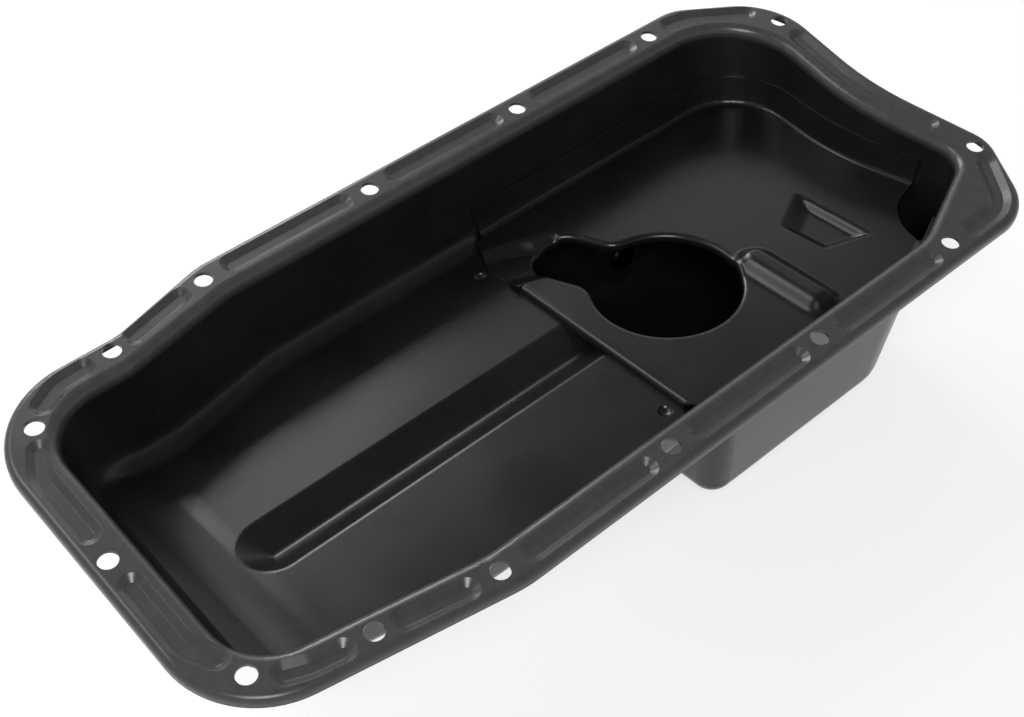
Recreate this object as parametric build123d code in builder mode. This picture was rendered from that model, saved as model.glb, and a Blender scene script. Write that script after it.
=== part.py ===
from build123d import *
import math
import os

os.makedirs("parts", exist_ok=True)

# Engine oil pan, pressed from sheet steel, with a welded baffle plate over its sump.
# The flange's joint face is the XY plane. X runs along the engine towards the sump,
# and the origin is the middle of the two long rows of bolts.

# Sheet metal
sheet = 1.5
baffle_sheet = 1.2

# Bolt holes in the flange
bolt_pitch = 84.4
bolt_rows = 4
bolt_row_y = 90.0
bolt_hole_radius = 3.9
front_bolt_x = -226.6
front_corner_bolt = (-216.2, 66.6)
front_shoulder_bolt = (-174.6, 80.8)
rear_bolt = (185.0, 58.9)

# Outline of the flange, with the corners of each run and the radius between runs,
# counter-clockwise from the front near corner
flange_outline = [
    (-234.1, -78.8, 40.0),
    (-121.6, -99.0, 60.0),
    (170.9, -99.0, 28.0),
    (194.6, -60.0, 20.0),
    (184.4, 0.0, 130.0),
    (196.2, 71.0, 35.0),
    (150.4, 99.0, 25.0),
    (-124.6, 99.0, 40.0),
    (-168.6, 87.4, 30.0),
    (-234.1, 87.4, 40.0),
]

# Outline of the mouth, where the wall would meet the joint face
mouth_outline = [
    (-216.4, -65.0, 25.0),
    (-125.6, -81.2, 60.0),
    (122.4, -81.2, 40.0),
    (176.8, -59.0, 14.0),
    (166.9, 0.0, 130.0),
    (180.3, 81.2, 37.0),
    (-122.6, 81.2, 40.0),
    (-174.6, 70.8, 30.0),
    (-216.4, 70.8, 25.0),
]

# Turned-down lip round the flange
lip_depth = 5.0
lip_bend = 3.0

# Sealing grooves pressed into the joint face between the bolts
groove_width = 10.0
groove_floor = 4.0
groove_depth = 2.0
groove_row_y = 90.8
groove_clearance = 14.3

# Centre lines of the other grooves, each with the radius of its turn
end_grooves = [
    ([(-163.5, 82.2), (-139.0, 88.0)], 0),
    ([(-164.0, -83.5), (-140.5, -88.3)], 0),
    ([(-208.5, 74.0), (-199.0, 79.2), (-187.5, 80.0)], 14.0),
    ([(-206.5, -74.0), (-198.0, -77.5), (-187.0, -79.7)], 14.0),
    ([(-225.8, 14.0), (-225.8, 46.0), (-220.0, 56.5)], 14.0),
    ([(-225.8, -13.5), (-225.8, -44.0), (-220.0, -55.0)], 14.0),
    ([(141.0, 90.3), (153.0, 88.5), (177.0, 73.5)], 20.0),
    ([(183.4, 45.0), (175.9, 0.0), (181.7, -35.0)], 130.0),
    ([(140.0, -90.5), (164.0, -90.5), (181.0, -68.0)], 20.0),
]

# The pan hangs below the flange with its floor tilted, lower on the far side
tilt = 7.07
side_draft = 8.5
end_draft = 5.0
front_draft = 15.0
mouth_bend = 4.0
floor_bend = 9.0
radius_loss = 0.45

# Depths below the joint face, square to the tilted floor
floor_depth = 34.5
sump_depth = 101.0
form_clearance = 24.0
form_depth = sump_depth + form_clearance
sump_front_x = 1.0
sump_front_run = 9.0
sump_edge_bend = 6.0
ramp_x = -188.6
ramp_angle = 32.0
ramp_bend = 45.0

# Drain channel in the shallow floor
channel_y = -6.5
channel_half_width = 12.9
channel_vee = 7.5
channel_bend = 5.0
channel_rim_bend = 4.0
channel_tip_x = -168.6
channel_length = 175.0

# Dimples in the shallow floor, ahead of the baffle
dimple_places = [(-13.3, 54.1), (-14.1, -59.8)]
dimple_ball = 4.0
dimple_depth = 1.5

# Baffle plate, with places in its own tilted plane. Its underside lies above the shallow floor.
baffle_rise = 2.4
baffle_depth = floor_depth - baffle_sheet - baffle_rise
baffle_front_x = -8.1
baffle_flange = 14.3
baffle_bend = 3.0
seat_gap = 0.1
front_lip_span = (-64.0, 34.0)

# Front corners of the baffle, cut back from the pan's rounded foot
front_corner_cuts = [
    [(baffle_front_x, 54.8), (baffle_front_x + 6.6, 70.0), (baffle_front_x + 11.3, 72.0)],
    [(baffle_front_x, -64.5), (baffle_front_x + 6.6, -72.5), (baffle_front_x + 11.3, -74.5)],
]

# Keyhole for the pickup pipe and its strainer
strainer_hole = (38.9, -8.8)
strainer_hole_radius = 33.0
pipe_hole = (20.4, 34.6)
pipe_hole_radius = 14.5
keyhole_neck_bend = 12.0

# Chute from the shallow floor to the pipe's hole: the top edges of its two sides
chute_far = [(0.0, 63.0), (33.0, 50.5)]
chute_near = [(0.0, 36.0), (20.0, 30.0)]
chute_slope = 2.5

# Rib and louver pressed up from the baffle
rib_x = 79.0
rib_span = (-70.0, -17.0)
rib_width = 18.0
rib_height = 5.0
rib_taper = 40.0
rib_bend = 2.0
louver_corners = [(103.8, -16.6), (104.2, -41.1), (127.9, -50.6), (130.7, -4.8)]
louver_crest_x = 126.0
louver_lip = 2.8
louver_height = 5.2

# Oil return past the baffle's rear near corner
oil_return = (167.9, -68.7)
oil_return_radius = 28.5

# Drain plug, low on the far wall of the sump
drain_x = 80.0
drain_height = 11.0
drain_drop = sump_depth - drain_height
thread_radius = 7.0
thread_gap = 0.1
drain_nut_radius = 12.5
drain_nut_height = 8.0
ring_radius = 10.5
ring_thickness = 1.5
plug_flange_radius = 11.5
plug_flange_thickness = 2.5
plug_hexagon = 17.0
plug_head_height = 8.5

tilt_slope = math.tan(math.radians(tilt))
rise = (0, math.sin(math.radians(tilt)), math.cos(math.radians(tilt)))
across = (0, math.cos(math.radians(tilt)), -math.sin(math.radians(tilt)))
floor_plane = Plane(origin=(0, 0, 0), x_dir=(1, 0, 0), z_dir=rise)
side_plane = Plane(origin=(0, 0, 0), x_dir=(1, 0, 0), z_dir=tuple(-v for v in across))


def moved_in(corners, inset):
    """The outline with each straight run moved inwards by inset(nx, ny) of its normal."""
    runs = []
    for (x1, y1, _), (x2, y2, _) in zip(corners, corners[1:] + corners[:1]):
        length = math.hypot(x2 - x1, y2 - y1)
        nx, ny = (y2 - y1) / length, (x1 - x2) / length
        runs.append((nx, ny, nx * x1 + ny * y1 - inset(nx, ny)))
    moved = []
    for (ax, ay, a), (bx, by, b), corner in zip(runs[-1:] + runs[:-1], runs, corners):
        cross = ax * by - ay * bx
        turn = 1 if cross > 0 else -1
        moved.append(((a * by - b * ay) / cross, (ax * b - bx * a) / cross, corner[2], turn))
    return moved


def outline_face(corners, plane):
    """A face inside straight runs, with its corners rounded."""
    with BuildSketch(plane) as outline:
        with BuildLine():
            Polyline(*[(corner[0], corner[1]) for corner in corners], close=True)
        make_face()
        for corner in corners:
            fillet(outline.vertices().sort_by_distance((corner[0], corner[1]))[0], corner[2])
    return outline.sketch


def side_slope(side):
    """How far the far (1) or near (-1) wall leans inwards for each millimetre of depth."""
    return math.tan(math.radians(side_draft)) + side * tilt_slope


def drain_wall_y(depth):
    """Where the inner face of the far wall lies, at a depth below the joint face."""
    return mouth_outline[5][1] - depth * side_slope(1)


def wall_section(depth, grow):
    """Section of the pan's walls below the joint face, grown outwards."""
    def inset(nx, ny):
        end = front_draft if nx < 0 else end_draft
        draft = abs(ny) * math.tan(math.radians(side_draft)) + abs(nx) * math.tan(math.radians(end))
        return depth * (draft + ny * tilt_slope) - grow

    corners = [
        (x, y, radius * (1 - radius_loss * depth / form_depth) + turn * grow)
        for x, y, radius, turn in moved_in(mouth_outline, inset)
    ]
    return outline_face(corners, Plane.XY.offset(-depth))


def wall_form(grow):
    """Everything inside the pan's walls, down past the sump."""
    with BuildPart() as form:
        loft([wall_section(0, grow).face(), wall_section(form_depth, grow).face()], ruled=True)
    return form.part


def along_across(edge):
    """True for an edge that runs straight across the pan, along its floor."""
    direction = edge.tangent_at(0.5)
    return abs(direction.dot(Vector(*across))) > 0.9999


def channel_section(grow):
    """Section across the drain channel: a vee with a round bottom, open above the floor."""
    half_angle = math.atan2(channel_half_width, channel_vee)
    vee = channel_vee + grow / math.sin(half_angle)
    above = 6.0
    origin = floor_plane.from_local_coords((channel_tip_x, channel_y, -floor_depth))
    with BuildSketch(Plane(origin=origin, x_dir=across, z_dir=(1, 0, 0))) as section:
        with BuildLine():
            half_top = (vee + above) * math.tan(half_angle)
            Polyline((-half_top, above), (0, -vee), (half_top, above), close=True)
        make_face()
        fillet(section.vertices().sort_by_distance((0, -vee))[0], channel_bend + grow)
    return section.sketch


def channel_rim(edges):
    """The edges where the drain channel meets the floor."""
    rim = []
    for edge in edges:
        ends = [floor_plane.to_local_coords(edge.position_at(share)) for share in (0.1, 0.5, 0.9)]
        if all(
            abs(end.Y - channel_y) < channel_half_width + 6
            and channel_tip_x - 25 < end.X < sump_front_x - 1
            and abs(end.Y - channel_y) + max(0, channel_tip_x - end.X) > channel_half_width - 4
            and end.Z > -floor_depth - sheet - 0.1
            for end in ends
        ):
            rim.append(edge)
    return rim


def pan_form(grow):
    """The pan's hollow as a solid, or its outside where it is grown by the sheet."""
    floor = floor_depth + grow
    bottom = sump_depth + grow
    with BuildPart() as form:
        add(wall_form(grow))
        with BuildSketch(side_plane) as profile:
            slope = math.tan(math.radians(ramp_angle))
            far_left, far_right, above = -280, 280, 60
            ramp_foot = ramp_x - grow * math.tan(math.radians(ramp_angle / 2))
            front_shift = grow * (1 - sump_front_run / (sump_depth - floor_depth))
            with BuildLine():
                Polyline(
                    (far_left, above),
                    (far_left, -floor + (ramp_foot - far_left) * slope),
                    (ramp_foot, -floor),
                    (sump_front_x - front_shift, -floor),
                    (sump_front_x + sump_front_run - front_shift, -bottom),
                    (far_right, -bottom),
                    (far_right, above),
                    close=True,
                )
            make_face()
            fillet(profile.vertices().sort_by_distance((ramp_foot, -floor))[0], ramp_bend + grow)
            front_top = (sump_front_x - front_shift, -floor)
            fillet(profile.vertices().sort_by_distance(front_top)[0], sump_edge_bend - grow)
            front_foot = (sump_front_x + sump_front_run - front_shift, -bottom)
            fillet(profile.vertices().sort_by_distance(front_foot)[0], floor_bend + grow)
        extrude(amount=160, both=True, mode=Mode.INTERSECT)
        floors = [
            face for face in form.faces()
            if abs(face.normal_at().dot(Vector(*across))) < 0.005
        ]
        foot = [edge for face in floors for edge in face.edges() if not along_across(edge)]
        fillet(foot, floor_bend + grow)
        section = channel_section(grow)
        extrude(section, amount=channel_length, dir=(1, 0, 0))
        tip = floor_plane.from_local_coords((channel_tip_x, channel_y, 0))
        revolve(split(section, Plane(origin=tip, z_dir=across), mode=Mode.PRIVATE), Axis(tip, rise))
        fillet(channel_rim(form.edges()), channel_rim_bend - grow)
        for x, y in dimple_places:
            middle = floor_plane.from_local_coords((x, y, dimple_ball - dimple_depth - floor_depth))
            with Locations(middle):
                Sphere(dimple_ball + grow)
    return form.part


def groove_form(points, turn, drop):
    """A sealing groove along its centre line, as a tapered solid."""
    with BuildPart() as groove:
        faces = []
        for width, depth in ((groove_width, 0), (groove_floor, groove_depth)):
            with BuildSketch(Plane.XY.offset(-depth - drop)) as track:
                with BuildLine():
                    if len(points) == 2:
                        Line(*points)
                    else:
                        FilletPolyline(*points, radius=turn)
                    offset(amount=width / 2)
                make_face()
            faces.append(track.sketch.face())
        loft(faces, ruled=True)
    return groove.part


side_bolts = [bolt_pitch * (place - (bolt_rows - 1) / 2) for place in range(bolt_rows)]
bolt_places = [(x, side * bolt_row_y) for x in side_bolts for side in (-1, 1)]
bolt_places += [
    (x, side * y)
    for x, y in (front_corner_bolt, front_shoulder_bolt, rear_bolt) for side in (-1, 1)
]
bolt_places.append((front_bolt_x, 0))

grooves = [
    ([(x + groove_clearance, y), (x + bolt_pitch - groove_clearance, y)], 0)
    for x in side_bolts[:-1] for y in (-groove_row_y, groove_row_y)
] + end_grooves

hollow = pan_form(0)
outside = pan_form(sheet)

drain_plane = Plane(
    origin=(drain_x, drain_wall_y(drain_drop) + sheet, -drain_drop),
    x_dir=(1, 0, 0),
    z_dir=(0, 1, -side_slope(1)),
)

with BuildPart() as pan_shell:
    rim = [(x, y, radius) for x, y, radius in flange_outline]
    extrude(outline_face(rim, Plane.XY), amount=-lip_depth)
    under = [(x, y, radius - turn * sheet) for x, y, radius, turn in moved_in(rim, lambda nx, ny: sheet)]
    extrude(outline_face(under, Plane.XY.offset(-sheet)), amount=-lip_depth, mode=Mode.SUBTRACT)
    fillet(pan_shell.edges().group_by(Axis.Z)[-1], lip_bend)
    fillet(pan_shell.edges().filter_by_position(Axis.Z, -sheet - 0.01, -sheet + 0.01), lip_bend - sheet)
    add(outside)
    seam = pan_shell.edges().filter_by_position(Axis.Z, -sheet - 0.01, -sheet + 0.01)
    fillet(seam, mouth_bend - sheet)
    add(hollow, mode=Mode.SUBTRACT)
    mouth = pan_shell.faces().sort_by(Axis.Z)[-1].inner_wires()[0]
    fillet(mouth.edges(), mouth_bend)
    add([groove_form(points, turn, sheet) for points, turn in grooves])
    add([groove_form(points, turn, 0) for points, turn in grooves], mode=Mode.SUBTRACT)
    with BuildSketch() as bolt_holes:
        with Locations(*bolt_places):
            Circle(bolt_hole_radius)
    extrude(amount=-lip_depth, mode=Mode.SUBTRACT)
    with BuildSketch(drain_plane):
        Circle(thread_radius + 2 * thread_gap)
    extrude(amount=3 * sheet, both=True, mode=Mode.SUBTRACT)
pan_shell.part.label = "pan_shell"
export_step(pan_shell.part, "parts/pan_shell.step")


def tray_form(grow, low, high):
    """A slab between two depths, cut to the walls, with its lower edge rounded."""
    with BuildPart() as tray:
        add(wall_form(grow))
        with BuildSketch(side_plane):
            with Locations((baffle_front_x + baffle_bend, -high)):
                Rectangle(400, low - high, align=(Align.MIN, Align.MAX))
        extrude(amount=160, both=True, mode=Mode.INTERSECT)
        base = tray.faces().sort_by(Axis((0, 0, 0), rise))[0]
        front = base.edges().sort_by(Axis.X)[0]
        fillet([edge for edge in base.edges() if edge != front], baffle_bend - grow - seat_gap)
    return tray.part


def chute_form(drop):
    """The chute that leads oil from the shallow floor to the pickup pipe's hole."""
    with BuildPart() as chute:
        faces = []
        for reach, depth in ((0, baffle_depth), (chute_slope, floor_depth - baffle_sheet)):
            with BuildSketch(floor_plane.offset(-depth - drop)) as outline:
                with BuildLine():
                    Polyline(
                        (baffle_front_x, chute_far[0][1] - reach),
                        (chute_far[0][0], chute_far[0][1] - reach),
                        (chute_far[1][0], chute_far[1][1] - reach),
                        (chute_near[1][0], chute_near[1][1] + reach),
                        (chute_near[0][0], chute_near[0][1] + reach),
                        (baffle_front_x, chute_near[0][1] + reach),
                        close=True,
                    )
                make_face()
            faces.append(outline.sketch.face())
        loft(faces, ruled=True)
    return chute.part


def rib_form(drop):
    """The raised rib beside the keyhole."""
    length = rib_span[1] - rib_span[0]
    with BuildPart() as rib:
        with BuildSketch(floor_plane.offset(-baffle_depth - drop)):
            with Locations((rib_x, (rib_span[0] + rib_span[1]) / 2)):
                SlotOverall(length, rib_width, rotation=90)
        extrude(amount=rib_height, taper=rib_taper)
        crown = rib.faces().sort_by(Axis((0, 0, 0), rise))[-1]
        fillet(crown.edges(), rib_bend)
    return rib.part


def louver_form(drop, wall):
    """The raised louver, open along its front and near edges."""
    with BuildPart() as louver:
        base = -baffle_depth - drop
        with BuildSketch(side_plane):
            with BuildLine():
                Polyline(
                    (louver_corners[0][0] - 10, base),
                    (louver_corners[0][0] - 10, base + louver_lip),
                    (louver_crest_x, base + louver_height),
                    (louver_corners[3][0] - wall, base),
                    close=True,
                )
            make_face()
        extrude(amount=160, both=True)
        with BuildSketch(floor_plane.offset(base)) as plan:
            with BuildLine():
                far_left, near_left, near_right, far_right = louver_corners
                Polyline(
                    (far_left[0], far_left[1] - wall),
                    near_left,
                    near_right,
                    (far_right[0], far_right[1] - wall),
                    close=True,
                )
            make_face()
        extrude(amount=louver_height, mode=Mode.INTERSECT)
    return louver.part


with BuildPart() as baffle_plate:
    add(tray_form(-seat_gap, baffle_depth + baffle_sheet, baffle_depth - baffle_flange))
    add(
        tray_form(-seat_gap - baffle_sheet, baffle_depth, baffle_depth - 2 * baffle_flange),
        mode=Mode.SUBTRACT,
    )
    lip_start = side_plane.offset(-front_lip_span[1])
    with BuildSketch(lip_start) as lip_section:
        with BuildLine():
            Polyline(
                (baffle_front_x, -floor_depth),
                (baffle_front_x, -baffle_depth),
                (baffle_front_x + 2 * baffle_bend, -baffle_depth),
                (baffle_front_x + 2 * baffle_bend, -baffle_depth - baffle_sheet),
                (baffle_front_x + baffle_sheet, -baffle_depth - baffle_sheet),
                (baffle_front_x + baffle_sheet, -floor_depth),
                close=True,
            )
        make_face()
        outer = lip_section.vertices().sort_by_distance((baffle_front_x, -baffle_depth))[0]
        fillet(outer, baffle_bend)
        inner_corner = (baffle_front_x + baffle_sheet, -baffle_depth - baffle_sheet)
        inner = lip_section.vertices().sort_by_distance(inner_corner)[0]
        fillet(inner, baffle_bend - baffle_sheet)
    extrude(amount=front_lip_span[1] - front_lip_span[0])
    add(chute_form(baffle_sheet))
    add(rib_form(0))
    add(louver_form(0, 0))
    add(chute_form(0), mode=Mode.SUBTRACT)
    add(rib_form(baffle_sheet), mode=Mode.SUBTRACT)
    add(louver_form(baffle_sheet, baffle_sheet), mode=Mode.SUBTRACT)
    with BuildSketch(floor_plane) as keyhole:
        with Locations(strainer_hole):
            Circle(strainer_hole_radius)
        with BuildLine():
            Line(strainer_hole, pipe_hole)
            offset(amount=pipe_hole_radius)
        make_face()
        necks = keyhole.vertices().sort_by_distance(strainer_hole)[:2]
        fillet(necks, keyhole_neck_bend)
    extrude(amount=-2 * baffle_depth, mode=Mode.SUBTRACT)
    with BuildSketch(floor_plane):
        with Locations(oil_return):
            Circle(oil_return_radius)
        for cut in front_corner_cuts:
            front, back = cut[0], cut[-1]
            with BuildLine():
                Polyline(
                    *cut,
                    (back[0], 2 * back[1]),
                    (2 * front[0], 2 * back[1]),
                    (2 * front[0], front[1]),
                    close=True,
                )
            make_face()
    extrude(amount=-2 * baffle_depth - 2 * baffle_flange, mode=Mode.SUBTRACT)
baffle_plate.part.label = "baffle_plate"
export_step(baffle_plate.part, "parts/baffle_plate.step")

with BuildPart() as drain_nut:
    with BuildSketch(drain_plane.offset(-sheet)):
        Circle(drain_nut_radius)
        Circle(thread_radius + thread_gap, mode=Mode.SUBTRACT)
    extrude(amount=-drain_nut_height)
    fillet(drain_nut.edges().filter_by(GeomType.CIRCLE).group_by(SortBy.RADIUS)[-1][0], 1.0)
drain_nut.part.label = "drain_nut"
export_step(drain_nut.part, "parts/drain_nut.step")

with BuildPart() as sealing_ring:
    with BuildSketch(drain_plane):
        Circle(ring_radius)
        Circle(thread_radius + thread_gap, mode=Mode.SUBTRACT)
    extrude(amount=ring_thickness)
sealing_ring.part.label = "sealing_ring"
export_step(sealing_ring.part, "parts/sealing_ring.step")

with BuildPart() as drain_plug:
    seat = drain_plane.offset(ring_thickness)
    with BuildSketch(seat):
        Circle(plug_flange_radius)
    extrude(amount=plug_flange_thickness)
    with BuildSketch(seat):
        RegularPolygon(plug_hexagon / 2, 6, major_radius=False)
    extrude(amount=plug_head_height)
    with BuildSketch(seat):
        Circle(thread_radius)
    shank = ring_thickness + sheet + drain_nut_height + 2
    extrude(amount=-shank)
    tip = drain_plug.edges().filter_by(GeomType.CIRCLE).sort_by_distance(seat.from_local_coords((0, 0, -shank)))
    chamfer(tip[0], 1.0)
drain_plug.part.label = "drain_plug"
export_step(drain_plug.part, "parts/drain_plug.step")
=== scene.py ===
import math

import bmesh
import bpy
import numpy as np
from mathutils import Matrix, Vector
from mathutils.geometry import delaunay_2d_cdt


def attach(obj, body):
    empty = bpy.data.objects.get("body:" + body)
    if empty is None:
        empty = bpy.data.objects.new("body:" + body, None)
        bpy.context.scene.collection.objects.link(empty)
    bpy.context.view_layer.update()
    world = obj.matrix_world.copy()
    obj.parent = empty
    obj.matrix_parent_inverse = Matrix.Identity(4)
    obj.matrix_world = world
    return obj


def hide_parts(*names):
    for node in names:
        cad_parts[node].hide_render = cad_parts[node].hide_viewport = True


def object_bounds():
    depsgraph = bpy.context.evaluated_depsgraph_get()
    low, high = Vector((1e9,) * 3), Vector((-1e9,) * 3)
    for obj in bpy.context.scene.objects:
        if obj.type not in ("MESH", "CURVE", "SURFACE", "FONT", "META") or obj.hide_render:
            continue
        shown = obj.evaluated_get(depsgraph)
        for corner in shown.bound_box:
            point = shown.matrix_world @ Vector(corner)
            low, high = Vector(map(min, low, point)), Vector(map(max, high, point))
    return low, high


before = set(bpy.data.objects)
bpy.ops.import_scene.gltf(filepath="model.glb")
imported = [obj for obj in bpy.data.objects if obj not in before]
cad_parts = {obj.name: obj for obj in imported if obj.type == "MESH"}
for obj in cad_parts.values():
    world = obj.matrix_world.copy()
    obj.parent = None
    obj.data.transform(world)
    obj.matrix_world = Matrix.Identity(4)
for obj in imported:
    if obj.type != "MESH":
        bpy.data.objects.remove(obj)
cad_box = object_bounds()

MM = 0.001

# The photograph's camera, worked out from the bolt holes in the flange
SENSOR_WIDTH = 36.0
LENS = 53.38
SHIFT_X = -0.0015
CAMERA_PLACE = (-0.32874, -0.29570, 0.44306)
CAMERA_RIGHT = (0.74552261, -0.66519234, 0.04141487)
CAMERA_DOWN = (-0.48246895, -0.58151523, -0.65502958)
CAMERA_FORWARD = (0.45980404, 0.46835797, -0.7544674)

# The world's level low down and overhead, and the heights between which it changes,
# where 0 is level and 1 straight up
WORLD_LEVELS = (0.6, 0.12)
WORLD_HEIGHTS = (0.15, 0.75)

# Each lamp's name, place, size and power. All point at the middle of the pan.
LAMPS = [
    ("viewer", (-0.8, -0.7, 1.2), 0.5, 14.0),
    ("left", (-0.6, 0.9, 1.1), 0.6, 5.0),
    ("far", (0.25, 1.3, 0.6), 0.7, 11.0),
    ("back", (0.9, 0.9, 0.45), 0.6, 1.0),
]

# The floor: its glow is added for the camera and in reflections only
FLOOR_SIZE = 30
FLOOR_COLOUR = (0.42, 0.42, 0.42, 1)
FLOOR_ROUGHNESS = 0.9
FLOOR_GLOW = 0.64
WHITE = (1, 1, 1, 1)

# The materials' noises, each as scale, detail and roughness
PATCHES = (22.0, 4.0, 0.6)
SCUFFS = (160.0, 6.0, 0.7)
SPECKS = (900.0, 2.0, 0.5)
PEEL = (650.0, 2.0, 0.5)
WAVES = (14.0, 2.0, 0.5)
MOTTLE = (260.0, 4.0, 0.6)
GRAIN = (2200.0, 2.0, 0.5)

# The levels of a noise between which it takes effect
PATCH_LEVELS = (0.35, 0.7)
SCUFF_LEVELS = (0.35, 0.65)
SPECK_LEVELS = (0.66, 0.74)
MOTTLE_LEVELS = (0.35, 0.65)
ROUGHNESS_LEVELS = (0.3, 0.7)

# Each bump as its height in metres and its strength, and the rounding of edges
WAVE_BUMP = (0.0008, 0.35)
PEEL_BUMP = (0.00002, 0.5)
GRAIN_BUMP = (0.00001, 0.5)
COAT_EDGE = 0.0004
METAL_EDGE = 0.0003
BEVEL_SAMPLES = 4

# The black coat. Above the turned-down lip, the flange's coat is painted paler. This is painted
# light: it stands for the light the open flange catches while the inside of the pan lies in shade
DARK_COAT = (0.005, 0.005, 0.0053)
PALE_COAT = (0.009, 0.009, 0.0095)
PAINTED_LIGHT_COAT = (0.06, 0.058, 0.056)
PAINTED_LIGHT_DARKER = 0.8
PAINTED_LIGHT_HEIGHTS = (-0.006, -0.003)
DUST = (0.07, 0.068, 0.066)
DUST_SHARE = 0.2
COAT_ROUGHNESS = (0.25, 0.32)
COAT_IOR = 1.45

# The metals: their darker and paler colour and the ends of their roughness
PLUG_ZINC = ((0.52, 0.47, 0.34), (0.62, 0.58, 0.46), (0.27, 0.42))
RING_METAL = ((0.6, 0.6, 0.58), (0.72, 0.72, 0.7), (0.3, 0.45))
OIL_FILM = (0.012, 0.011, 0.009)
OIL_EDGE = 0.001

# The pan's wall, in millimetres and seen square to its tilted floor: how it leans in down to
# the form's depth, the share that its corners' radii lose on the way, and the mouth's corners
# as x along the pan, y across it towards the far wall, and the radius
TILT = math.radians(7.07)
SIDE_DRAFT = math.radians(8.5)
END_DRAFT = math.radians(5.0)
FRONT_DRAFT = math.radians(15.0)
FORM_DEPTH = 125.0
RADIUS_LOSS = 0.45
MOUTH = [
    (-216.4, -65.0, 25.0),
    (-125.6, -81.2, 60.0),
    (122.4, -81.2, 40.0),
    (176.8, -59.0, 14.0),
    (166.9, 0.0, 130.0),
    (180.3, 81.2, 37.0),
    (-122.6, 81.2, 40.0),
    (-174.6, 70.8, 30.0),
    (-216.4, 70.8, 25.0),
]

# The baffle plate, in the same directions, with its depth below the joint face
SHEET = 1.2
SEAT_GAP = 0.1
PLATE_DEPTH = 30.9
FLANGE_HEIGHT = 14.3
FLANGE_START_X = 3.2
FOOT_BEND = 2.4
FRONT_X = -8.1
FAR_FRONT_CORNER = [(-1.5, 70.0), (-8.1, 54.8)]
NEAR_FRONT_CORNER = [(-8.1, -64.5), (-1.5, -72.5)]
LIP_SPAN = (-64.0, 34.0)
LIP_END_CUT = 0.5
LIP_BEND = 3.0
LIP_DROP = 3.5

# Round openings as x, y and radius. The last two are joined into the keyhole.
OIL_RETURN = (167.9, -68.7, 28.5)
STRAINER_HOLE = (38.9, -8.8, 33.0)
PIPE_HOLE = (20.4, 34.6, 14.5)
NECK_BEND = 12.0
RIM_ROLL = 2.0
RIM_DROP = 3.6

# The rib pressed up, which runs in y and fades out at its near end
RIB_X = 77.0
RIB_HEAD_Y = -16.0
RIB_HALF_WIDTH = 10.5
RIB_FLANK = 8.0
RIB_HEIGHT = 5.0
RIB_FADE = (-71.0, -62.0)

# The pocket pressed down: each corner with the width of the wall to the next one
POCKET = [
    (127.5, -5.4, 9.0),
    (103.8, -17.0, 6.0),
    (105.4, -41.5, 6.0),
    (128.4, -49.3, 4.5),
]
POCKET_DEPTH = 3.4

# The chute pressed down between two lines, up to the pipe's hole, and its fall as x and depth
CHUTE_FAR = [
    (-9.0, 66.0),
    (-3.5, 64.0),
    (1.4, 63.1),
    (12.1, 59.6),
    (17.2, 56.5),
    (31.8, 51.1),
    (60.0, 41.0),
]
CHUTE_NEAR = [(-9.0, 35.5), (1.0, 31.5), (12.0, 27.0), (60.0, 10.0)]
CHUTE_WALL = 8.0
CHUTE_END_X = 30.0
CHUTE_END_WALL = 9.0
CHUTE_FALL = [(-1.0, 2.4), (32.0, 7.1)]

# The baffle's mesh: the grid's pitch, the pitch along edges, how near the grid comes to them,
# the rows on the flange's wall as shares of its height, and the distances that count as none
GRID = 1.1
EDGE_PITCH = 1.3 * GRID
EDGE_CLEARANCE = 0.6 * GRID
BEND_STEPS = 5
FLANGE_ROWS = (0.33, 0.66, 1.0)
SAME_PLACE = 0.01
TOLERANCE = 1e-4
WELD = 0.02
SHARP_ANGLE = math.radians(50)


def add_camera():
    data = bpy.data.cameras.new("camera")
    data.sensor_width = SENSOR_WIDTH
    data.lens = LENS
    data.shift_x = SHIFT_X
    camera = bpy.data.objects.new("camera", data)
    bpy.context.collection.objects.link(camera)
    columns = (CAMERA_RIGHT, [-v for v in CAMERA_DOWN], [-v for v in CAMERA_FORWARD])
    turn = Matrix(columns).transposed().to_4x4()
    camera.matrix_world = Matrix.Translation(CAMERA_PLACE) @ turn
    bpy.context.scene.camera = camera


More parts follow.
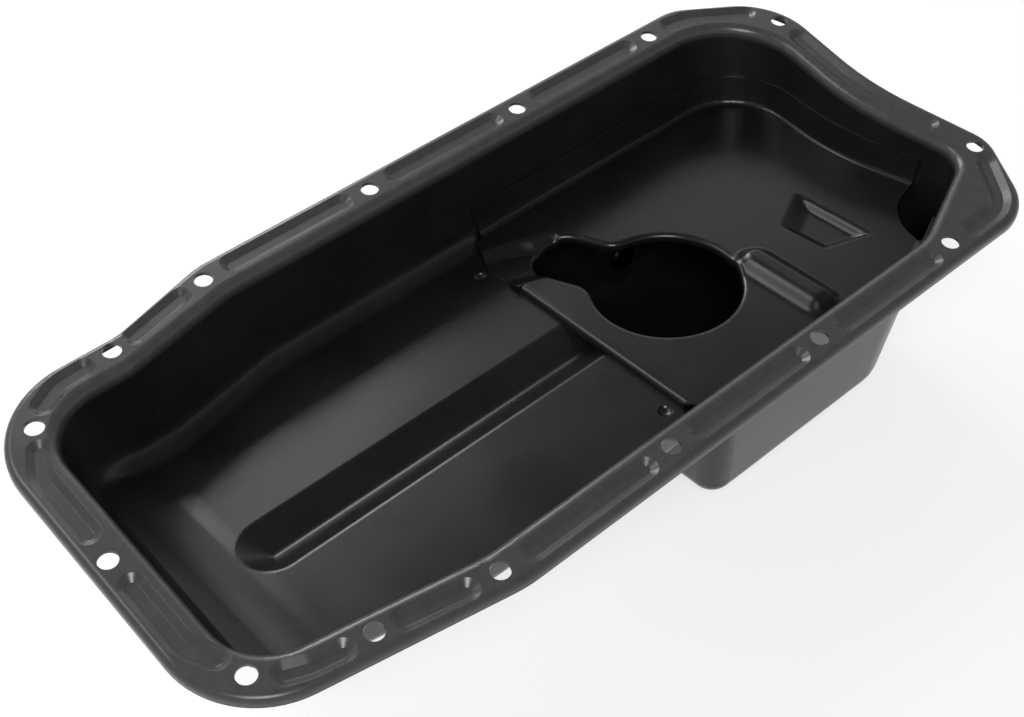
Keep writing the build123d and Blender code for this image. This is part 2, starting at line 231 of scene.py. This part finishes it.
class Nodes:
    """Short names for building a node tree."""

    def __init__(self, owner):
        owner.use_nodes = True
        self.tree = owner.node_tree
        self.tree.nodes.clear()

    def add(self, kind, inputs=None, **settings):
        node = self.tree.nodes.new(kind)
        for name, value in settings.items():
            setattr(node, name, value)
        for name, value in (inputs or {}).items():
            self.feed(node.inputs[name], value)
        return node

    def feed(self, socket, value):
        if isinstance(value, bpy.types.NodeSocket):
            self.tree.links.new(value, socket)
        else:
            socket.default_value = value

    def noise(self, place, scale, detail, roughness):
        inputs = {"Scale": scale, "Detail": detail, "Roughness": roughness, "Vector": place}
        return self.add("ShaderNodeTexNoise", inputs).outputs["Fac"]

    def ramp(self, value, levels, ends=(0.0, 1.0)):
        """Goes from the first end to the last while the value goes between the levels."""
        inputs = {
            "Value": value,
            "From Min": levels[0],
            "From Max": levels[1],
            "To Min": ends[0],
            "To Max": ends[1],
        }
        return self.add("ShaderNodeMapRange", inputs).outputs["Result"]

    def highest(self, first, second):
        node = self.add("ShaderNodeMath", operation="MAXIMUM")
        self.feed(node.inputs[0], first)
        self.feed(node.inputs[1], second)
        return node.outputs["Value"]

    def mix(self, factor, first, second):
        """Blends two colours. Sockets 6 and 7 and output 2 are the node's colour ones."""
        node = self.add("ShaderNodeMix", {"Factor": factor}, data_type="RGBA")
        for socket, colour in ((node.inputs[6], first), (node.inputs[7], second)):
            linked = isinstance(colour, bpy.types.NodeSocket)
            self.feed(socket, colour if linked else (*colour, 1.0))
        return node.outputs[2]

    def bump(self, height, distance, strength, normal):
        inputs = {"Height": height, "Distance": distance, "Strength": strength, "Normal": normal}
        return self.add("ShaderNodeBump", inputs).outputs["Normal"]

    def rounded_edge(self, radius):
        node = self.add("ShaderNodeBevel", {"Radius": radius}, samples=BEVEL_SAMPLES)
        return node.outputs["Normal"]

    def place(self):
        return self.add("ShaderNodeTexCoord").outputs["Object"]

    def component(self, vector, axis):
        return self.add("ShaderNodeSeparateXYZ", {"Vector": vector}).outputs[axis]

    def surface(self, inputs):
        shader = self.add("ShaderNodeBsdfPrincipled", inputs)
        self.add("ShaderNodeOutputMaterial", {"Surface": shader.outputs["BSDF"]})


def coat_material(name, painted_light):
    """Black electrocoat on pressed sheet: orange peel, press waves, dust, and painted light, with
    the flange's top painted paler for the light it catches.
    """
    material = bpy.data.materials.new(name)
    nodes = Nodes(material)
    place = nodes.place()
    height = nodes.component(place, "Z")
    patches = nodes.noise(place, *PATCHES)
    scuffs = nodes.noise(place, *SCUFFS)
    specks = nodes.noise(place, *SPECKS)
    peel = nodes.noise(place, *PEEL)
    waves = nodes.noise(place, *WAVES)
    colour = nodes.mix(nodes.ramp(patches, PATCH_LEVELS), DARK_COAT, PALE_COAT)
    # Painted light: above the lip the coat is painted paler, mottled by the scuff noise, for the
    # light that falls on the open flange and not into the shaded pan.
    darker = [PAINTED_LIGHT_DARKER * v for v in painted_light]
    painted_flange_light = nodes.mix(nodes.ramp(scuffs, SCUFF_LEVELS), darker, painted_light)
    colour = nodes.mix(nodes.ramp(height, PAINTED_LIGHT_HEIGHTS), colour, painted_flange_light)
    colour = nodes.mix(nodes.ramp(specks, SPECK_LEVELS, (0.0, DUST_SHARE)), colour, DUST)
    rough = nodes.ramp(patches, ROUGHNESS_LEVELS, COAT_ROUGHNESS)
    wavy = nodes.bump(waves, *WAVE_BUMP, nodes.rounded_edge(COAT_EDGE))
    normal = nodes.bump(peel, *PEEL_BUMP, wavy)
    nodes.surface({"Base Color": colour, "Roughness": rough, "Normal": normal, "IOR": COAT_IOR})
    return material


def metal_material(name, colour, pale, roughness, oiled_below=None):
    """Plated or bare metal with a mottled finish, under an oil film where y is low."""
    material = bpy.data.materials.new(name)
    nodes = Nodes(material)
    place = nodes.place()
    mottle = nodes.noise(place, *MOTTLE)
    grain = nodes.noise(place, *GRAIN)
    tint = nodes.mix(nodes.ramp(mottle, MOTTLE_LEVELS), colour, pale)
    if oiled_below is not None:
        levels = (oiled_below - OIL_EDGE, oiled_below)
        oiled = nodes.ramp(nodes.component(place, "Y"), levels, (1.0, 0.0))
        tint = nodes.mix(oiled, tint, OIL_FILM)
    rough = nodes.ramp(mottle, ROUGHNESS_LEVELS, roughness)
    normal = nodes.bump(grain, *GRAIN_BUMP, nodes.rounded_edge(METAL_EDGE))
    nodes.surface({"Base Color": tint, "Roughness": rough, "Metallic": 1.0, "Normal": normal})
    return material


def in_pairs(places):
    """Each place of a closed run with the one after it."""
    return zip(places, places[1:] + places[:1])


def soft_step(value):
    """Rises smoothly from 0 to 1."""
    value = min(1.0, max(0.0, value))
    return value * value * (3 - 2 * value)


def along(points, x):
    """The height of a line of points at x."""
    for (x1, y1), (x2, y2) in zip(points, points[1:]):
        if x <= x2 or (x2, y2) == points[-1]:
            return y1 + (y2 - y1) * (min(max(x, x1), x2) - x1) / (x2 - x1)


def rib_rise(x, y):
    """How far the rib stands up at a place."""
    past = max(0.0, y - (RIB_HEAD_Y - RIB_HALF_WIDTH))
    depth_inside = RIB_HALF_WIDTH - math.hypot(x - RIB_X, past)
    fade = soft_step((y - RIB_FADE[0]) / (RIB_FADE[1] - RIB_FADE[0]))
    return RIB_HEIGHT * soft_step(depth_inside / RIB_FLANK) * fade


def pocket_drop(x, y):
    """How far the pocket is pressed down at a place."""
    share = 1.0
    for (x1, y1, width), (x2, y2, _) in in_pairs(POCKET):
        length = math.hypot(x2 - x1, y2 - y1)
        depth_inside = ((x2 - x1) * (y - y1) - (y2 - y1) * (x - x1)) / length
        share = min(share, depth_inside / width)
    return POCKET_DEPTH * soft_step(share)


def chute_drop(x, y):
    """How far the chute is pressed down at a place."""
    share = min(
        (along(CHUTE_FAR, x) - y) / CHUTE_WALL,
        (y - along(CHUTE_NEAR, x)) / CHUTE_WALL,
        (CHUTE_END_X - x) / CHUTE_END_WALL,
    )
    return along(CHUTE_FALL, x) * soft_step(share)


def plate_height(x, y):
    """Height of the plate's top, seen square to the tilted floor."""
    return rib_rise(x, y) - pocket_drop(x, y) - chute_drop(x, y) - PLATE_DEPTH


def rounded(corners, steps=10):
    """The points of a closed outline, with its corners (x, y, radius) rounded."""
    points = []
    for before, (corner, after) in zip(corners[-1:] + corners[:-1], in_pairs(corners)):
        here, radius = Vector(corner[:2]), corner[2]
        back = (Vector(before[:2]) - here).normalized()
        ahead = (Vector(after[:2]) - here).normalized()
        half = back.angle(ahead) / 2
        middle = here + (back + ahead).normalized() * radius / math.sin(half)
        start = here + back * radius / math.tan(half) - middle
        turn = (math.pi - 2 * half) * (1 if back.cross(ahead) < 0 else -1)
        for step in range(steps + 1):
            points.append(middle + Matrix.Rotation(turn * step / steps, 2) @ start)
    return points


def wall_ring(level, inwards):
    """The inside of the pan's wall at a level of its form, moved inwards."""
    depth = FORM_DEPTH * level
    runs = []
    for (x1, y1, _), (x2, y2, _) in in_pairs(MOUTH):
        length = math.hypot(x2 - x1, y2 - y1)
        nx, ny = (y2 - y1) / length, (x1 - x2) / length
        end_draft = FRONT_DRAFT if nx < 0 else END_DRAFT
        slope = abs(ny) * math.tan(SIDE_DRAFT) + abs(nx) * math.tan(end_draft)
        move = depth * (slope + ny * math.tan(TILT)) + inwards
        runs.append((nx, ny, nx * x1 + ny * y1 - move))
    corners = []
    for (ax, ay, a), (bx, by, b), corner in zip(runs[-1:] + runs[:-1], runs, MOUTH):
        cross = ax * by - ay * bx
        radius = corner[2] * (1 - RADIUS_LOSS * level) - math.copysign(inwards, cross)
        corners.append(((a * by - b * ay) / cross, (ax * b - bx * a) / cross, radius))
    return rounded(corners)


def wall_lines():
    """Lines up the wall just inside the baffle's flange, as places at its foot and its top."""
    sin, cos = math.sin(TILT), math.cos(TILT)
    lines = []
    for high, low in zip(wall_ring(0.0, SEAT_GAP + SHEET), wall_ring(1.0, SEAT_GAP + SHEET)):
        ends = []
        for depth in (PLATE_DEPTH, PLATE_DEPTH - FLANGE_HEIGHT):
            share = (depth + high.y * sin) / (FORM_DEPTH * cos - (low.y - high.y) * sin)
            place = high.lerp(low, share)
            ends.append(Vector((place.x, place.y * cos + FORM_DEPTH * share * sin, -depth)))
        lines.append(ends)
    return lines


def world_place(x, y, height):
    """A place seen square to the tilted floor, in the frame's own directions and in metres."""
    sin, cos = math.sin(TILT), math.cos(TILT)
    return Vector((x, y * cos + height * sin, height * cos - y * sin)) * MM


def arc(middle, radius, start, end, steps):
    """Places on an arc between two angles."""
    angles = [start + (end - start) * step / steps for step in range(steps + 1)]
    return [middle + Vector((math.cos(angle), math.sin(angle))) * radius for angle in angles]


def angle_of(direction):
    return math.atan2(direction.y, direction.x)


def keyhole_ring(grow):
    """The keyhole's outline, grown outwards: two round holes joined by a neck with soft corners."""
    strainer, pipe = Vector(STRAINER_HOLE[:2]), Vector(PIPE_HOLE[:2])
    big, small = STRAINER_HOLE[2], PIPE_HOLE[2]
    ahead = (pipe - strainer).normalized()
    aside = Vector((-ahead.y, ahead.x))
    reach = math.sqrt((big + NECK_BEND) ** 2 - (small + NECK_BEND) ** 2)
    necks = [strainer + ahead * reach + aside * side * (small + NECK_BEND) for side in (1, -1)]
    heading = angle_of(ahead)
    quarter = math.pi / 2
    bend = NECK_BEND - grow
    turn = math.acos(reach / (big + NECK_BEND))
    tip = arc(pipe, small + grow, heading - quarter, heading + quarter, steps=36)
    first = arc(necks[0], bend, heading - quarter, heading - 2 * quarter + turn, steps=10)
    round_hole = arc(strainer, big + grow, heading + turn, heading + 4 * quarter - turn, steps=110)
    last = arc(necks[1], bend, heading + 2 * quarter - turn, heading + quarter, steps=10)
    return joined([tip, first, round_hole, last])


def joined(runs):
    """One closed outline from runs of places, with long gaps filled in evenly."""
    points = [place for run in runs for place in run]
    outline = []
    for here, after in in_pairs(points):
        length = (after - here).length
        if length < SAME_PLACE:
            continue
        steps = max(1, round(length / EDGE_PITCH))
        outline += [here.lerp(after, step / steps) for step in range(steps)]
    return outline


def fine_wall_lines():
    """The wall's lines, with more of them put between where they are far apart."""
    fine = []
    for (foot, top), (next_foot, next_top) in in_pairs(wall_lines()):
        steps = max(1, math.ceil((next_foot - foot).length / GRID))
        for step in range(steps):
            share = step / steps
            fine.append((foot.lerp(next_foot, share), top.lerp(next_top, share)))
    return fine


def flange_strips():
    """The two stretches of the flange, each a list of lines (flat place, foot, top, inwards)."""
    fine = fine_wall_lines()
    count = len(fine)
    near_side = [index for index in range(count) if fine[index][0].y <= 0]
    start = min(near_side, key=lambda index: abs(fine[index][0].x - FLANGE_START_X))
    strips = [[]]
    for index in range(start, start + count):
        foot, top = fine[index % count]
        direction = (fine[(index + 1) % count][0] - fine[(index - 1) % count][0]).xy
        inwards = Vector((-direction.y, direction.x)).normalized()
        flat = foot.xy + inwards * FOOT_BEND
        clear = (flat - Vector(OIL_RETURN[:2])).length > OIL_RETURN[2]
        if clear and foot.x >= FLANGE_START_X:
            strips[-1].append((flat, foot, top, inwards))
        elif strips[-1]:
            strips.append([])
    return [strip for strip in strips if len(strip) > 2]


def inside(places, outline):
    """Which of the places lie inside a closed outline."""
    px, py = places[:, 0], places[:, 1]
    result = np.zeros(len(places), dtype=bool)
    for (x1, y1), (x2, y2) in in_pairs(outline):
        if y1 == y2:
            continue
        crosses = ((y1 > py) != (y2 > py)) & (px < (x2 - x1) * (py - y1) / (y2 - y1) + x1)
        result ^= crosses
    return result


def clear_of(places, outline):
    """Which of the places keep their distance from an outline's points."""
    near = np.zeros(len(places), dtype=bool)
    for x, y in outline:
        near |= (places[:, 0] - x) ** 2 + (places[:, 1] - y) ** 2 < EDGE_CLEARANCE ** 2
    return ~near


def plate_outline(strips):
    """The plate's flat part: along both stretches of flange, the oil return and the front edge."""
    near_flange, far_flange = ([line[0] for line in strip] for strip in strips)
    middle = Vector(OIL_RETURN[:2])
    full = 2 * math.pi
    start, end = (angle_of(place - middle) % full for place in (near_flange[-1], far_flange[0]))
    bay = arc(middle, OIL_RETURN[2], start, end, steps=40)[1:-1]
    fold = FRONT_X + LIP_BEND
    front = [(FRONT_X, LIP_SPAN[1] + LIP_END_CUT), (fold, LIP_SPAN[1]), (fold, LIP_SPAN[0])]
    front = [Vector(place) for place in FAR_FRONT_CORNER + front + NEAR_FRONT_CORNER]
    return joined([near_flange, bay, far_flange, front])


def grid_places(outline, hole):
    """Evenly spaced places on the flat part, clear of its edges."""
    xs = [place.x for place in outline]
    ys = [place.y for place in outline]
    columns = np.arange(min(xs), max(xs), GRID)
    rows = np.arange(min(ys), max(ys), GRID)
    grid = np.array([(x, y) for x in columns for y in rows])
    grid = grid[inside(grid, outline) & ~inside(grid, hole)]
    return grid[clear_of(grid, outline) & clear_of(grid, hole)]


def add_flat_faces(mesh, outline, hole):
    """Triangles over the flat part, with its pressed forms."""
    count = len(outline)
    edges = [(index, (index + 1) % count) for index in range(count)]
    edges += [(count + index, count + (index + 1) % len(hole)) for index in range(len(hole))]
    grid = [Vector((float(x), float(y))) for x, y in grid_places(outline, hole)]
    flat = outline + hole + grid
    places, _, triangles, *_ = delaunay_2d_cdt(flat, edges, [], 0, TOLERANCE)
    middles = [sum((places[index] for index in face), Vector((0, 0))) / 3 for face in triangles]
    middles = np.array(middles)
    kept = inside(middles, outline) & ~inside(middles, hole)
    verts = [mesh.verts.new(world_place(*place, plate_height(*place))) for place in places]
    for face, keep in zip(triangles, kept):
        if keep:
            mesh.faces.new([verts[index] for index in face])


def add_strip(mesh, rows):
    """Quads between neighbouring rows of places."""
    made = [[mesh.verts.new(world_place(*place)) for place in row] for row in rows]
    for first, second in zip(made, made[1:]):
        for corners in zip(first, first[1:], second[1:], second):
            mesh.faces.new(corners)


def quarter_bend():
    """A bend of radius 1 as pairs: how far along it has come, and how far down."""
    turns = [math.pi / 2 * step / BEND_STEPS for step in range(BEND_STEPS + 1)]
    return [(math.sin(turn), 1 - math.cos(turn)) for turn in turns]


def flange_row(line):
    """Places up one line of the flange: the rounded foot, then the wall."""
    flat, foot, top, inwards = line
    up = (top - foot).normalized()
    away = Vector((*inwards, 0)) * FOOT_BEND
    places = [(flat.x, flat.y, plate_height(*flat))]
    for outwards, rise in quarter_bend()[1:]:
        places.append(tuple(foot + away * (1 - outwards) + up * FOOT_BEND * rise))
    wall_foot = foot + up * FOOT_BEND
    return places + [tuple(wall_foot.lerp(top, share)) for share in FLANGE_ROWS]


def rim_rows(hole):
    """Rings from the flat part over the keyhole's rolled rim and down."""
    heights = [plate_height(*place) for place in hole]
    profile = [(RIM_ROLL * (1 - inwards), RIM_ROLL * drop) for inwards, drop in quarter_bend()]
    profile.append((0, RIM_DROP))
    rows = []
    for grow, drop in profile:
        ring = keyhole_ring(grow)
        places = zip(ring + ring[:1], heights + heights[:1])
        rows.append([(*place, height - drop) for place, height in places])
    return rows


def lip_rows(outline):
    """Lines across the front edge, from the flat part over the bend and down."""
    fold = FRONT_X + LIP_BEND
    ys = [place.y for place in outline if abs(place.x - fold) < TOLERANCE]
    profile = [(fold - LIP_BEND * ahead, LIP_BEND * drop) for ahead, drop in quarter_bend()]
    profile.append((FRONT_X, LIP_DROP))
    return [[(x, y, plate_height(fold, y) - drop) for y in ys] for x, drop in profile]


def baffle_surface():
    """The top of the baffle plate, as a mesh with its faces up."""
    strips = flange_strips()
    outline = plate_outline(strips)
    hole = keyhole_ring(RIM_ROLL)
    mesh = bmesh.new()
    add_flat_faces(mesh, outline, hole)
    for strip in strips:
        add_strip(mesh, [flange_row(line) for line in strip])
    add_strip(mesh, rim_rows(hole))
    add_strip(mesh, lip_rows(outline))
    bmesh.ops.remove_doubles(mesh, verts=mesh.verts, dist=WELD * MM)
    loose = [vert for vert in mesh.verts if not vert.link_faces]
    bmesh.ops.delete(mesh, geom=loose, context="VERTS")
    bmesh.ops.recalc_face_normals(mesh, faces=mesh.faces)
    if sum(face.normal.z * face.calc_area() for face in mesh.faces) < 0:
        bmesh.ops.reverse_faces(mesh, faces=mesh.faces)
    data = bpy.data.meshes.new("baffle_sheet")
    mesh.to_mesh(data)
    mesh.free()
    return data


def add_baffle():
    """The stamped baffle plate in finer detail than its solid, as one sheet with thickness."""
    sheet = bpy.data.objects.new("baffle_sheet", baffle_surface())
    bpy.context.collection.objects.link(sheet)
    thick = sheet.modifiers.new("thickness", "SOLIDIFY")
    thick.thickness = SHEET * MM
    thick.offset = -1
    thick.use_even_offset = False
    shown = sheet.evaluated_get(bpy.context.evaluated_depsgraph_get())
    solid = bpy.data.meshes.new_from_object(shown)
    sheet.modifiers.clear()
    sheet.data = solid
    solid.polygons.foreach_set("use_smooth", [True] * len(solid.polygons))
    solid.set_sharp_from_angle(angle=SHARP_ANGLE)
    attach(sheet, "root")
    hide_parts("baffle_plate")
    return sheet


def dress(node, material):
    """Gives a frame node its material."""
    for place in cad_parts[node].material_slots:
        place.material = material


def add_floor():
    """A pale floor, white to the camera and in reflections, that still takes the shadow."""
    low = cad_box[0][2]
    bpy.ops.mesh.primitive_plane_add(size=FLOOR_SIZE, location=(0, 0, low))
    floor = bpy.context.object
    floor.name = "floor"
    material = bpy.data.materials.new("floor")
    nodes = Nodes(material)
    path = nodes.add("ShaderNodeLightPath").outputs
    mirrored = nodes.highest(path["Is Glossy Ray"], path["Is Transmission Ray"])
    seen = nodes.highest(path["Is Camera Ray"], mirrored)
    nodes.surface({
        "Base Color": FLOOR_COLOUR,
        "Roughness": FLOOR_ROUGHNESS,
        "Emission Color": WHITE,
        "Emission Strength": nodes.ramp(seen, (0.0, 1.0), (0.0, FLOOR_GLOW)),
    })
    floor.data.materials.append(material)


def add_lamp(name, place, size, power):
    data = bpy.data.lights.new(name, "AREA")
    data.energy = power
    data.size = size
    lamp = bpy.data.objects.new(name, data)
    lamp.location = place
    lamp.rotation_euler = (-Vector(place)).to_track_quat("-Z", "Y").to_euler()
    bpy.context.collection.objects.link(lamp)


def add_world():
    """A pale studio: bright round the horizon and dimmer overhead."""
    world = bpy.data.worlds.new("world")
    bpy.context.scene.world = world
    nodes = Nodes(world)
    direction = nodes.add("ShaderNodeTexCoord").outputs["Generated"]
    level = nodes.ramp(nodes.component(direction, "Z"), WORLD_HEIGHTS, WORLD_LEVELS)
    background = nodes.add("ShaderNodeBackground", {"Color": WHITE, "Strength": level})
    nodes.add("ShaderNodeOutputWorld", {"Surface": background.outputs["Background"]})


add_camera()
add_floor()
add_world()
for lamp in LAMPS:
    add_lamp(*lamp)

# Painted light: the pan's coat is painted paler on its flange top.
pan_coat = coat_material("pan_coat", PAINTED_LIGHT_COAT)
baffle_coat = coat_material("baffle_coat", PALE_COAT)
nut_face = max(corner[1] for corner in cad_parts["drain_nut"].bound_box)
plug_zinc = metal_material("plug_zinc", *PLUG_ZINC, nut_face)
ring_metal = metal_material("ring_metal", *RING_METAL)

dress("pan_shell", pan_coat)
dress("drain_nut", pan_coat)
add_baffle().data.materials.append(baffle_coat)
dress("sealing_ring", ring_metal)
dress("drain_plug", plug_zinc)

bpy.context.scene.view_settings.view_transform = "Standard"
